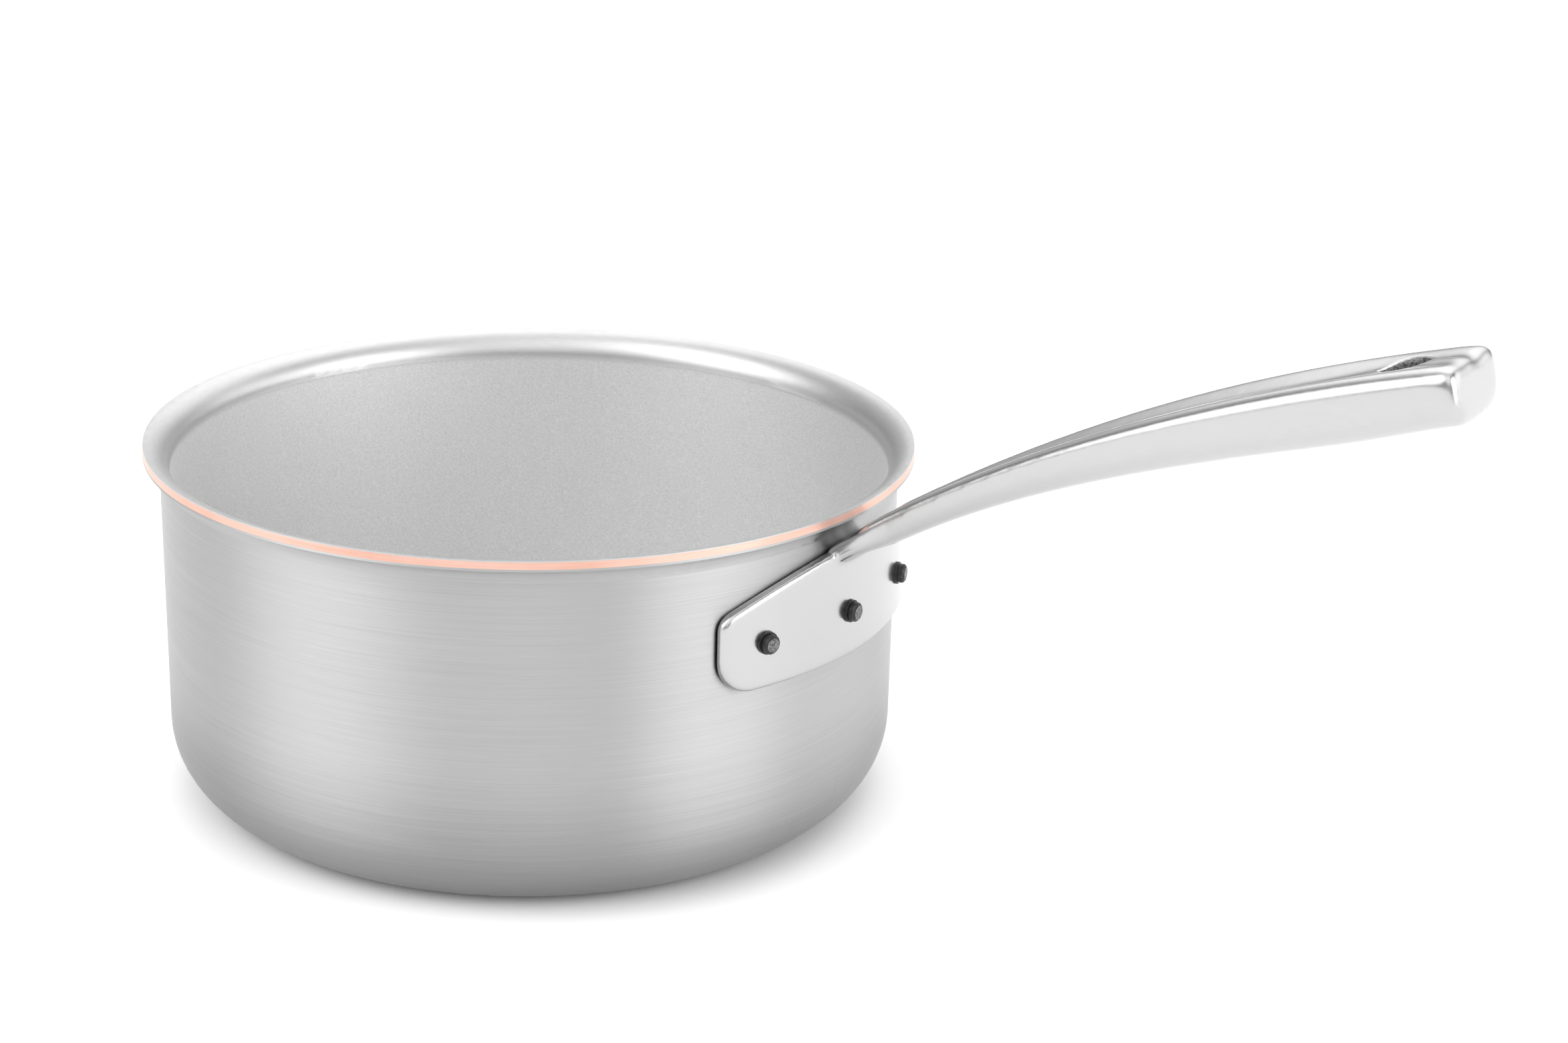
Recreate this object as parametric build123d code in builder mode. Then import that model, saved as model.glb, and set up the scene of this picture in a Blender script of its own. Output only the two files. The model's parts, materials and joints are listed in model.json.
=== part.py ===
from build123d import *
import os
from math import cos, degrees, radians, sin, sqrt

# A clad saucepan: a bonded three-layer body and one cast handle, riveted on.
# Millimetres. The origin is the centre of the flat base, X runs out along the handle, Z is up.

# Pan body. The copper core carries a steel skin outside and a thinner steel lining inside.
inner_radius = 90.0
shell_thickness = 0.55
core_thickness = 1.65
lining_thickness = 0.3
wall_thickness = shell_thickness + core_thickness + lining_thickness
outer_radius = inner_radius + wall_thickness
corner_radius = 20.0

# Pouring rim: the wall turns outward along an arc until its cut edge faces sideways.
rim_height = 92.0
flare_radius = 4.4
flare_turn = 85.0
flare_start_height = rim_height - (flare_radius + wall_thickness) * sin(radians(flare_turn))

# Riveting plate: the foot of the handle, curved to lie on the wall.
plate_thickness = 2.8
plate_radius = outer_radius + plate_thickness
plate_half_width = 42.0
plate_bottom = 53.8
plate_crown = 82.3
plate_crown_radius = 98.0
plate_bottom_corner = 8.0
plate_top_corner = 4.5
plate_edge_round = 1.3
plate_back_round = 0.8

# Handle shaft. Its two top ridges rise from the plate along one large arc.
root_reach = 94.0
root_height = 84.9
root_rise = 35.5
tip_rise = 15.1
spine_radius = 451.0
spine_length = spine_radius * radians(root_rise - tip_rise)
root_width = 16.0
root_depth = 7.3
grip_width = 26.8
grip_depth = 15.0
belly_power = 0.64
width_grows_over = 110.0
depth_grows_over = 148.0
trough_depth = 1.2
shallow_trough = 0.2
trough_grows_over = 55.0
trough_fades_over = 20.0
trough_stop = 12.0
tip_thinning = 1.3
tip_thins_over = 34.0
tip_round = 2.0

# Close to the plate the shaft necks in from above and below and widens to meet the plate.
neck_length = 14.0
neck_drop = 1.0
neck_lift = 1.3
neck_flare = 2.0
buried_root = -7.0
section_count = 21
lofted_length = spine_length - buried_root
stations = [
    buried_root + lofted_length * (section / (section_count - 1)) ** 1.5
    for section in range(section_count)
]

# Hanging slot: a teardrop, round towards the tip and pointed towards the pan.
slot_from_tip = 14.8
slot_radius = 5.6
slot_point_length = 7.6

# Three rivets: a pin headed inside the pan and a flanged collar swaged on outside.
rivet_height = 65.4
rivet_spacing = 17.9
rivet_row_middle = -1.1
pin_radius = 1.7
pin_stand_off = 0.15
head_radius = 4.6
head_height = 1.5
head_round = 1.1
collar_radius = 2.35
collar_height = 2.2
collar_chamfer = 0.4
flange_radius = 2.75
flange_height = 0.6
groove_radius = 2.15
groove_height = 0.25
seat_depth = 0.2
rivet_angles = {
    "left": rivet_row_middle - rivet_spacing,
    "centre": rivet_row_middle,
    "right": rivet_row_middle + rivet_spacing,
}


def rivet_plane(angle, reach=0.0):
    """Plane square to one rivet's axis, `reach` from the pan's axis, facing outward."""
    outward = Vector(cos(radians(angle)), sin(radians(angle)), 0)
    sideways = Vector(-sin(radians(angle)), cos(radians(angle)), 0)
    centre = Vector(0, 0, rivet_height) + outward * reach
    return Plane(origin=centre, x_dir=sideways, z_dir=outward)


def drill_rivet_holes():
    """Cuts the three pin holes from the pan's axis outward through the part being built."""
    with BuildSketch(*[rivet_plane(angle) for angle in rivet_angles.values()]) as holes:
        Circle(pin_radius)
    extrude(holes.sketch, amount=plate_radius + collar_height + 1, mode=Mode.SUBTRACT)


def wall_line(depth):
    """Half-section line of the body, `depth` inside its outer surface, from base centre to rim."""
    flat_end = outer_radius - corner_radius
    Line((0, depth), (flat_end, depth))
    CenterArc((flat_end, corner_radius), corner_radius - depth, -90, 90)
    Line((outer_radius - depth, corner_radius), (outer_radius - depth, flare_start_height))
    flare_centre = (outer_radius + flare_radius, flare_start_height)
    flare = CenterArc(flare_centre, flare_radius + depth, 180, -flare_turn)
    return flare @ 1


def clad_layer(outer_depth, inner_depth):
    """One layer of the body, with its three rivet holes."""
    with BuildPart() as layer:
        with BuildSketch(Plane.XZ):
            with BuildLine():
                outer_edge = wall_line(outer_depth)
                inner_edge = wall_line(inner_depth)
                Line((0, outer_depth), (0, inner_depth))
                Line(outer_edge, inner_edge)
            make_face()
        revolve(axis=Axis.Z)
        drill_rivet_holes()
    return layer


def smooth_growth(distance, full_distance):
    """Rises from 0 to 1 over `full_distance`, level at both ends."""
    share = min(max(distance / full_distance, 0.0), 1.0)
    return share * share * (3 - 2 * share)


def spine_plane(distance):
    """Plane square to the ridge arc, `distance` along it. Local x is the width, local y is up."""
    rise = radians(root_rise - degrees(distance / spine_radius))
    start = radians(root_rise)
    reach = root_reach + spine_radius * (sin(start) - sin(rise))
    height = root_height + spine_radius * (cos(rise) - cos(start))
    return Plane(origin=(reach, 0, height), x_dir=(0, 1, 0), z_dir=(cos(rise), 0, sin(rise)))


def shaft_outline(distance):
    """Closed outline of the shaft: trough between two rounded ridges, full sides, rounded belly."""
    neck = 1 - smooth_growth(distance, neck_length)
    near_tip = smooth_growth(distance - spine_length + tip_thins_over, tip_thins_over)
    width = root_width + (grip_width - root_width) * smooth_growth(distance, width_grows_over)
    half_width = (width + neck_flare * neck) / 2
    thickness = root_depth + (grip_depth - root_depth) * smooth_growth(distance, depth_grows_over)
    top = -neck_drop * neck
    depth = thickness - (neck_lift + neck_drop) * neck - tip_thinning * near_tip
    deepening = smooth_growth(distance, trough_grows_over)
    fading = smooth_growth(spine_length - distance - trough_stop, trough_fades_over)
    dip = shallow_trough + (trough_depth - shallow_trough) * deepening * fading
    belly_top = 0.36 * depth
    belly = [
        (
            half_width * cos(radians(turn)) ** belly_power,
            top - belly_top - (depth - belly_top) * sin(radians(turn)) ** belly_power,
        )
        for turn in (0, 22.5, 45, 67.5)
    ]
    one_side = [
        (0.45 * half_width, top - 0.60 * dip),
        (0.80 * half_width, top),
        (0.97 * half_width, top - 0.11 * depth),
        *belly,
    ]
    other_side = [(-across, up) for across, up in reversed(one_side)]
    Spline((0, top - dip), *one_side, (0, top - depth), *other_side, periodic=True)


# The bonded body, from the outside in.
os.makedirs("parts", exist_ok=True)
layer_depths = {
    "outer_steel_shell": (0.0, shell_thickness),
    "copper_core": (shell_thickness, shell_thickness + core_thickness),
    "inner_steel_lining": (shell_thickness + core_thickness, wall_thickness),
}
for layer_name, (outer_depth, inner_depth) in layer_depths.items():
    layer = clad_layer(outer_depth, inner_depth)
    layer.part.label = layer_name
    export_step(layer.part, f"parts/{layer_name}.step")

# The plate's outline is drawn looking along the handle, then kept only where it hugs the wall.
with BuildPart() as riveting_plate:
    with BuildSketch(Plane.YZ) as outline:
        with BuildLine():
            crown_centre = plate_crown - plate_crown_radius
            side_top = crown_centre + sqrt(plate_crown_radius**2 - plate_half_width**2)
            left_top = (-plate_half_width, side_top)
            right_top = (plate_half_width, side_top)
            ThreePointArc(left_top, (0, plate_crown), right_top)
            right_bottom = (plate_half_width, plate_bottom)
            left_bottom = (-plate_half_width, plate_bottom)
            Polyline(right_top, right_bottom, left_bottom, left_top)
        make_face()
        fillet(outline.vertices().group_by(Axis.Y)[0], plate_bottom_corner)
        fillet(outline.vertices().group_by(Axis.Y)[-1], plate_top_corner)
    extrude(amount=plate_radius)
    with BuildSketch(Plane.XY.offset(plate_bottom)):
        Circle(plate_radius)
        Circle(outer_radius, mode=Mode.SUBTRACT)
    extrude(amount=plate_crown - plate_bottom, mode=Mode.INTERSECT)
    face, back = riveting_plate.faces().sort_by(Axis.X, reverse=True)[:2]
    fillet(face.edges(), plate_edge_round)
    fillet(back.edges(), plate_back_round)

# The shaft is lofted through square sections of its spine and starts buried in the plate.
with BuildPart() as handle:
    for distance in stations:
        with BuildSketch(spine_plane(distance)):
            with BuildLine():
                shaft_outline(distance)
            make_face()
    loft()
    tip_face = handle.faces().sort_by(Axis.X)[-1]
    fillet(tip_face.edges(), tip_round)
    with BuildSketch():
        Circle(outer_radius)
    extrude(amount=rim_height, mode=Mode.SUBTRACT)
    add(riveting_plate.part)
    drill_rivet_holes()
    across_spine = spine_plane(spine_length - slot_from_tip)
    with BuildSketch(Plane(origin=across_spine.origin, x_dir=(0, -1, 0), z_dir=across_spine.y_dir)):
        with BuildLine():
            back_step = slot_radius**2 / slot_point_length
            touch = sqrt(slot_radius**2 - back_step**2)
            ThreePointArc((-touch, -back_step), (0, slot_radius), (touch, -back_step))
            Polyline((touch, -back_step), (0, -slot_point_length), (-touch, -back_step))
        make_face()
    extrude(amount=grip_width, both=True, mode=Mode.SUBTRACT)
handle.part.label = "handle"
export_step(handle.part, "parts/handle.step")

# Pins and collars, one pair for each hole.
for side, angle in rivet_angles.items():
    with BuildPart() as pin:
        with BuildSketch(rivet_plane(angle, inner_radius - head_height)):
            Circle(head_radius)
        extrude(amount=head_height + seat_depth)
        fillet(pin.faces().sort_by(SortBy.DISTANCE)[0].edges(), head_round)
        with BuildSketch(Plane.XY.offset(rivet_height - head_radius)):
            Circle(plate_radius)
            Circle(inner_radius, mode=Mode.SUBTRACT)
        extrude(amount=2 * head_radius, mode=Mode.SUBTRACT)
        with BuildSketch(rivet_plane(angle, inner_radius - head_height / 2)):
            Circle(pin_radius)
        extrude(amount=head_height / 2 + wall_thickness + plate_thickness + collar_height + pin_stand_off)
    pin.part.label = f"rivet_pin_{side}"
    export_step(pin.part, f"parts/rivet_pin_{side}.step")

    with BuildPart() as collar:
        with BuildSketch(rivet_plane(angle, plate_radius - seat_depth)):
            Circle(collar_radius)
        extrude(amount=collar_height + seat_depth)
        chamfer(collar.edges().filter_by(GeomType.CIRCLE).sort_by(SortBy.DISTANCE)[-1], collar_chamfer)
        with BuildSketch(rivet_plane(angle, plate_radius - seat_depth)):
            Circle(flange_radius)
        extrude(amount=flange_height + seat_depth)
        with BuildSketch(rivet_plane(angle, plate_radius + flange_height)):
            Circle(collar_radius)
            Circle(groove_radius, mode=Mode.SUBTRACT)
        extrude(amount=groove_height, mode=Mode.SUBTRACT)
        drill_rivet_holes()
        with BuildSketch(Plane.XY.offset(rivet_height - flange_radius)):
            Circle(plate_radius)
        extrude(amount=2 * flange_radius, mode=Mode.SUBTRACT)
    collar.part.label = f"rivet_collar_{side}"
    export_step(collar.part, f"parts/rivet_collar_{side}.step")
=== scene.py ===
import json
from math import cos, radians, sin

import bmesh
import bpy
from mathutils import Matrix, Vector


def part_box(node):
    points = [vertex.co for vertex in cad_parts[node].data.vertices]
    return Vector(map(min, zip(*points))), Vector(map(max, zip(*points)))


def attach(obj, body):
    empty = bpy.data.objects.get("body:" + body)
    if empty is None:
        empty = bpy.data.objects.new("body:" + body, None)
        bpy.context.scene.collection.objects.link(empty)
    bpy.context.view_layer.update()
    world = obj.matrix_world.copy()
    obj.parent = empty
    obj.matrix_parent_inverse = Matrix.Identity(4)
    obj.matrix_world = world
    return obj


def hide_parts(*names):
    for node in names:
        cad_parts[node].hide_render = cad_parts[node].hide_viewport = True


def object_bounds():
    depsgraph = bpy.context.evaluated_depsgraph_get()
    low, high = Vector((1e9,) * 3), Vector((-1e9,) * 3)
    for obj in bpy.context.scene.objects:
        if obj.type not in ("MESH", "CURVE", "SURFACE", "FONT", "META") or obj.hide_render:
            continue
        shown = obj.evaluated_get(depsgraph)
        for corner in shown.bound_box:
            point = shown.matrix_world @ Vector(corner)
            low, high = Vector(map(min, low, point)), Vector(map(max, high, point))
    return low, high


# A clad saucepan with a riveted cast handle, on a white table in soft studio light. Metres, in the CAD frame.
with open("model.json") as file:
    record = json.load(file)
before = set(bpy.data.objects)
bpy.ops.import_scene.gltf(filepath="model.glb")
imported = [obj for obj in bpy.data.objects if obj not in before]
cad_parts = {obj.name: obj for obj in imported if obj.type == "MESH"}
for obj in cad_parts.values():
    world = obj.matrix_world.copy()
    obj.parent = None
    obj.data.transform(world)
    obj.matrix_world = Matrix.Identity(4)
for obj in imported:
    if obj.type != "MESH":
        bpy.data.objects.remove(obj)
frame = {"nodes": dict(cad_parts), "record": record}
cad_low, cad_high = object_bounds()
MM = 0.001

rim_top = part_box("inner_steel_lining")[1].z
# Outside radius of the straight wall, below the flare.
wall_radius = 92.5 * MM
mounts = {mount["name"]: mount for mount in frame["record"]["mounts"]}
slot_centre = Vector(mounts["hanging_slot"]["pos_m"])
slot_axis = Vector(mounts["hanging_slot"]["axis"]).normalized()


class Shader:
    """A material's node tree, with short helpers that return sockets."""

    def __init__(self, name):
        self.material = bpy.data.materials.new(name)
        self.material.use_nodes = True
        self.tree = self.material.node_tree
        self.surface = self.tree.nodes["Principled BSDF"]
        place = self.tree.nodes.new("ShaderNodeTexCoord")
        self.position = place.outputs["Object"]
        self.normal = place.outputs["Normal"]

    def node(self, kind, values, output=0, **settings):
        """Adds a node. A value is a number, a colour, a vector, or another node's socket."""
        made = self.tree.nodes.new(kind)
        for name, setting in settings.items():
            setattr(made, name, setting)
        for key, value in values.items():
            if isinstance(value, bpy.types.NodeSocket):
                self.tree.links.new(value, made.inputs[key])
            else:
                made.inputs[key].default_value = value
        return made.outputs[output]

    def math(self, operation, first, second=0.0):
        return self.node("ShaderNodeMath", {0: first, 1: second}, operation=operation)

    def sum(self, first, *others):
        """Adds up two or more values."""
        total = first
        for other in others:
            total = self.math("ADD", total, other)
        return total

    def height(self):
        """Height above the table."""
        return self.node("ShaderNodeSeparateXYZ", {0: self.position}, output="Z")

    def grey_colour(self, tone):
        return self.node("ShaderNodeCombineColor", {0: tone, 1: tone, 2: tone})

    def scaled(self, vector, factors):
        return self.node("ShaderNodeVectorMath", {0: vector, 1: factors}, operation="MULTIPLY")

    def along(self, vector, direction):
        """Length of a vector along a direction."""
        values = {0: vector, 1: direction}
        return self.node("ShaderNodeVectorMath", values, output="Value", operation="DOT_PRODUCT")

    def noise(self, vector, scale, detail=2.0, rough=0.5):
        values = {"Vector": vector, "Scale": scale, "Detail": detail, "Roughness": rough}
        return self.node("ShaderNodeTexNoise", values, output="Fac")

    def between(self, value, low, high, to_low=0.0, to_high=1.0, smooth=True):
        """Maps low..high onto to_low..to_high, and stays level outside."""
        values = {0: value, 1: low, 2: high, 3: to_low, 4: to_high}
        kind = "SMOOTHSTEP" if smooth else "LINEAR"
        return self.node("ShaderNodeMapRange", values, interpolation_type=kind)

    def blend(self, share, first, second):
        """Colour between two colours."""
        return self.node("ShaderNodeMix", {0: share, 6: first, 7: second}, output=2, data_type="RGBA")

    def mix(self, share, first, second):
        """Number between two numbers."""
        return self.node("ShaderNodeMix", {0: share, 2: first, 3: second}, data_type="FLOAT")

    def bump(self, height, distance, strength=1.0, before=None):
        values = {"Height": height, "Distance": distance, "Strength": strength}
        if before is not None:
            values["Normal"] = before
        return self.node("ShaderNodeBump", values)

    def set(self, **values):
        """Sets the surface shader's inputs. An underscore in a name stands for a space."""
        for name, value in values.items():
            socket = self.surface.inputs[name.replace("_", " ")]
            if isinstance(value, bpy.types.NodeSocket):
                self.tree.links.new(value, socket)
            else:
                socket.default_value = value


def outer_steel():
    """Brushed round the wall: fine scratches along the circumference, and painted shade darkening it towards
    the base.
    """
    base_tone = 0.32
    painted_shade_height = 42.0 * MM
    s = Shader("brushed outer steel")
    hairs = s.noise(s.scaled(s.position, (30.0, 30.0, 6500.0)), 1.0, detail=3.0, rough=0.6)
    strokes = s.noise(s.scaled(s.position, (9.0, 9.0, 1500.0)), 1.0, detail=2.0)
    clouds = s.noise(s.position, 16.0, detail=2.0)
    scratch = s.noise(s.scaled(s.position, (60.0, 60.0, 3400.0)), 1.0, detail=1.0)
    scratch = s.between(scratch, 0.70, 0.78)
    grain = s.sum(s.math("MULTIPLY", hairs, 0.14), s.math("MULTIPLY", strokes, 0.06))
    wear = s.sum(s.math("MULTIPLY", clouds, 0.03), s.math("MULTIPLY", scratch, 0.04))
    tone = s.sum(grain, wear, base_tone)
    # Painted shade: the tone falls to 0.58 of its value at the base, standing in for the dark that the low
    # wall reflects.
    tone = s.math("MULTIPLY", tone, s.between(s.height(), 0.0, painted_shade_height, 0.58, 1.0))
    rough = s.between(strokes, 0.3, 0.7, 0.40, 0.44)
    colour = s.grey_colour(tone)
    tangent = s.node("ShaderNodeTangent", {}, direction_type="RADIAL", axis="Z")
    normal = s.bump(hairs, 0.01 * MM, 0.4)
    s.set(Base_Color=colour, Metallic=1.0, Roughness=rough, Anisotropic=0.9, Anisotropic_Rotation=0.25)
    s.set(Tangent=tangent, Normal=normal)
    return s.material


def inner_steel():
    """Satin and finely grained inside, polished where the wall turns outward."""
    polish_starts = rim_top - 8.0 * MM
    polish_full = rim_top - 5.5 * MM
    s = Shader("satin inner steel")
    polished = s.between(s.height(), polish_starts, polish_full)
    grain = s.noise(s.scaled(s.position, (1500.0, 1500.0, 2600.0)), 1.0, detail=2.0, rough=0.7)
    clouds = s.noise(s.position, 18.0, detail=3.0)
    satin_tone = s.sum(s.math("MULTIPLY", grain, 0.34), s.math("MULTIPLY", clouds, 0.06), 0.52)
    fine = s.noise(s.scaled(s.position, (300.0, 300.0, 3000.0)), 1.0, detail=2.0)
    polished_tone = s.sum(s.math("MULTIPLY", fine, 0.08), 0.46)
    tone = s.mix(polished, satin_tone, polished_tone)
    rough = s.between(polished, 0.0, 1.0, 0.56, 0.40, smooth=False)
    colour = s.grey_colour(tone)
    depth = s.math("MULTIPLY", grain, s.between(polished, 0.0, 1.0, 1.0, 0.1, smooth=False))
    s.set(Base_Color=colour, Metallic=1.0, Roughness=rough, Normal=s.bump(depth, 0.07 * MM, 0.6))
    return s.material


def copper():
    """Cut edge of the copper core: turned lines round the rim and a little tarnish."""
    s = Shader("cut copper")
    lines = s.noise(s.scaled(s.position, (45.0, 45.0, 3800.0)), 1.0, detail=2.0)
    tarnish = s.noise(s.position, 35.0, detail=3.0, rough=0.6)
    fresh, warm = (0.72, 0.44, 0.36, 1.0), (0.60, 0.31, 0.22, 1.0)
    colour = s.blend(s.between(tarnish, 0.45, 0.75, 0.0, 0.55), fresh, warm)
    colour = s.blend(s.between(lines, 0.35, 0.75, 0.0, 0.35), colour, (0.80, 0.60, 0.54, 1.0))
    s.set(Base_Color=colour, Metallic=1.0, Roughness=0.36, Normal=s.bump(lines, 0.03 * MM, 0.5))
    return s.material


def handle_steel():
    """Hand-polished casting, left as cast inside the hanging slot, with painted shade making it dark in the
    gap against the wall.
    """
    slot_half_width = 6.2 * MM
    slot_half_length = 8.5 * MM
    gap_shade_starts = wall_radius + 0.5 * MM
    gap_shade_ends = wall_radius + 0.8 * MM
    s = Shader("polished cast steel")
    offset = s.node("ShaderNodeVectorMath", {0: s.position, 1: slot_centre}, operation="SUBTRACT")
    slot_forward = Vector((slot_axis.z, 0.0, -slot_axis.x))
    forward = s.math("ABSOLUTE", s.along(offset, slot_forward))
    sideways = s.math("ABSOLUTE", s.along(offset, (0.0, 1.0, 0.0)))
    facing = s.math("ABSOLUTE", s.along(s.normal, slot_axis))
    slot_wall = s.between(facing, 0.6, 0.75, 1.0, 0.0)
    in_width = s.between(sideways, slot_half_width, slot_half_width + 0.6 * MM, 1.0, 0.0)
    in_length = s.between(forward, slot_half_length, slot_half_length + 1.0 * MM, 1.0, 0.0)
    in_slot = s.math("MULTIPLY", s.math("MULTIPLY", slot_wall, in_width), in_length)
    waves = s.noise(s.scaled(s.position, (38.0, 60.0, 60.0)), 1.0, detail=1.0)
    level = s.scaled(s.position, (1.0, 1.0, 0.0))
    reach = s.node("ShaderNodeVectorMath", {0: level}, output="Value", operation="LENGTH")
    # Painted shade: the plate's back edge nearest the pan wall is made near-black, where shade falls between
    # the parts.
    painted_gap_shade = s.between(reach, gap_shade_starts, gap_shade_ends, 1.0, 0.0)
    polish = s.noise(s.scaled(s.position, (260.0, 1900.0, 1900.0)), 1.0, detail=2.0)
    cast = s.noise(s.position, 1500.0, detail=3.0, rough=0.65)
    smooth_tone = s.sum(s.math("MULTIPLY", polish, 0.05), 0.46)
    cast_tone = s.between(cast, 0.3, 0.7, 0.06, 0.26)
    tone = s.mix(painted_gap_shade, s.mix(in_slot, smooth_tone, cast_tone), 0.03)
    colour = s.grey_colour(tone)
    smooth_rough = s.between(polish, 0.3, 0.7, 0.19, 0.24)
    rough = s.mix(in_slot, smooth_rough, 0.62)
    normal = s.bump(waves, 0.12 * MM, 0.5)
    normal = s.bump(s.math("MULTIPLY", cast, in_slot), 0.25 * MM, 0.8, before=normal)
    s.set(Base_Color=colour, Metallic=1.0, Roughness=rough, Normal=normal)
    return s.material


def rivet_steel():
    """Darkened pin, mottled all over."""
    s = Shader("darkened rivet steel")
    mottle = s.noise(s.position, 1700.0, detail=3.0, rough=0.7)
    tone = s.between(mottle, 0.35, 0.68, 0.07, 0.24)
    colour = s.grey_colour(tone)
    rough = s.between(mottle, 0.3, 0.7, 0.5, 0.35)
    s.set(Base_Color=colour, Metallic=1.0, Roughness=rough, Normal=s.bump(mottle, 0.08 * MM, 0.7))
    return s.material


def black_collar():
    """Blackened collar with a slight grain."""
    s = Shader("blackened collar")
    grain = s.noise(s.position, 2600.0, detail=2.0, rough=0.6)
    wear = s.noise(s.position, 700.0, detail=2.0)
    tone = s.between(wear, 0.45, 0.75, 0.012, 0.035)
    colour = s.grey_colour(tone)
    rough = s.between(grain, 0.3, 0.7, 0.36, 0.48)
    s.set(Base_Color=colour, Metallic=0.2, Roughness=rough, Normal=s.bump(grain, 0.04 * MM, 0.5))
    return s.material


def white_table():
    s = Shader("white table")
    mottle = s.noise(s.position, 3.0, detail=1.0)
    tone = s.between(mottle, 0.3, 0.7, 0.93, 0.95)
    colour = s.grey_colour(tone)
    s.set(Base_Color=colour, Roughness=0.9, Specular_IOR_Level=0.1)
    return s.material


finishes = {
    "outer_steel": outer_steel(),
    "inner_steel": inner_steel(),
    "copper": copper(),
    "handle_steel": handle_steel(),
    "rivet_steel": rivet_steel(),
    "black_collar": black_collar(),
}
for part in frame["record"]["subparts"]:
    piece = frame["nodes"][part["node"]]
    piece.data.materials.clear()
    piece.data.materials.append(finishes[part["material_slot"]])


def shaped(piece, kind, **settings):
    """Applies one modifier to a piece's mesh."""
    modifier = piece.modifiers.new("shaping", kind)
    for name, setting in settings.items():
        setattr(modifier, name, setting)
    evaluated = piece.evaluated_get(bpy.context.evaluated_depsgraph_get())
    mesh = bpy.data.meshes.new_from_object(evaluated)
    piece.modifiers.clear()
    piece.data = mesh


def polished_casting(node, name):
    """Copy of a CAD node as one even, smooth skin with the softened edges of a hand-polished casting."""
    seam_gap = 0.001 * MM
    skin_step = 0.5 * MM
    skin_passes = 8
    end_length = 9.0 * MM
    end_blend = 5.0 * MM
    end_passes = 70
    piece = bpy.data.objects.new(name, frame["nodes"][node].data.copy())
    bpy.context.scene.collection.objects.link(piece)
    seams = bmesh.new()
    seams.from_mesh(piece.data)
    bmesh.ops.remove_doubles(seams, verts=seams.verts, dist=seam_gap)
    seams.to_mesh(piece.data)
    seams.free()
    shaped(piece, "REMESH", mode="VOXEL", voxel_size=skin_step)
    shaped(piece, "SMOOTH", iterations=skin_passes)
    # The grip's end is rounded much more than the other edges.
    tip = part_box(node)[1].x
    end = piece.vertex_groups.new(name="end")
    for vertex in piece.data.vertices:
        weight = (vertex.co.x - tip + end_length) / end_blend
        if weight > 0.0:
            end.add([vertex.index], min(weight, 1.0), "REPLACE")
    shaped(piece, "SMOOTH", iterations=end_passes, vertex_group="end")
    piece.vertex_groups.clear()
    piece.data.shade_smooth()
    return piece


handle = polished_casting("handle", "polished_handle")
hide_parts("handle")
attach(handle, "root")

# Table top. It fills the camera's own view, but its far edges show in low views from behind.
table_half = 4.0
table_mesh = bpy.data.meshes.new("table_top")
corners = [(x, y, cad_low.z) for x, y in ((-1, -1), (1, -1), (1, 1), (-1, 1))]
table_mesh.from_pydata([(x * table_half, y * table_half, z) for x, y, z in corners], [], [(0, 1, 2, 3)])
table = bpy.data.objects.new("table_top", table_mesh)
bpy.context.scene.collection.objects.link(table)
table_mesh.materials.append(white_table())


def studio(base_level, lobes):
    """World light: a level plus soft lobes, each (azimuth, elevation, spread, amount), angles in degrees."""
    world = bpy.data.worlds.new("studio")
    bpy.context.scene.world = world
    world.use_nodes = True
    tree = world.node_tree
    direction = tree.nodes.new("ShaderNodeTexCoord").outputs["Generated"]
    total = None
    for azimuth, elevation, spread, amount in lobes:
        turn, tilt = radians(azimuth), radians(elevation)
        towards = (cos(tilt) * cos(turn), cos(tilt) * sin(turn), sin(tilt))
        dot = tree.nodes.new("ShaderNodeVectorMath")
        dot.operation = "DOT_PRODUCT"
        dot.inputs[1].default_value = towards
        tree.links.new(direction, dot.inputs[0])
        lobe = tree.nodes.new("ShaderNodeMapRange")
        lobe.interpolation_type = "SMOOTHSTEP"
        lobe.inputs["From Min"].default_value = cos(radians(spread))
        lobe.inputs["From Max"].default_value = 1.0
        lobe.inputs["To Max"].default_value = amount
        tree.links.new(dot.outputs["Value"], lobe.inputs["Value"])
        adding = tree.nodes.new("ShaderNodeMath")
        adding.operation = "ADD"
        adding.inputs[1].default_value = base_level
        tree.links.new(lobe.outputs["Result"], adding.inputs[0])
        if total is not None:
            tree.links.new(total, adding.inputs[1])
        total = adding.outputs[0]
    background = tree.nodes["Background"]
    white = (1.0, 1.0, 1.0, 1.0)
    background.inputs["Color"].default_value = white
    tree.links.new(total, background.inputs["Strength"])


# The camera stands in front and to the handle's right. Azimuths are measured from +X towards +Y.
camera_azimuth = -53.6
studio(
    0.38,
    [
        (0.0, 90.0, 48.0, 0.9),
        (camera_azimuth, 38.0, 36.0, 1.2),
        (camera_azimuth + 155.0, 46.0, 44.0, 1.6),
        (camera_azimuth - 70.0, 34.0, 40.0, 3.1),
        (camera_azimuth - 165.0, 34.0, 34.0, 0.4),
        (camera_azimuth + 58.0, 16.0, 34.0, 3.3),
        (camera_azimuth + 104.0, 8.0, 28.0, 1.6),
    ],
)

camera_data = bpy.data.cameras.new("camera")
camera_data.lens = 66.85
camera_data.shift_x = 0.02
camera_data.shift_y = 0.04
camera_data.clip_start = 0.01
camera = bpy.data.objects.new("camera", camera_data)
bpy.context.scene.collection.objects.link(camera)
camera.location = (0.4171, -0.5654, 0.3138)
camera.rotation_euler = (radians(69.506), radians(-1.4), radians(32.326))
bpy.context.scene.camera = camera
bpy.context.scene.view_settings.view_transform = "Standard"
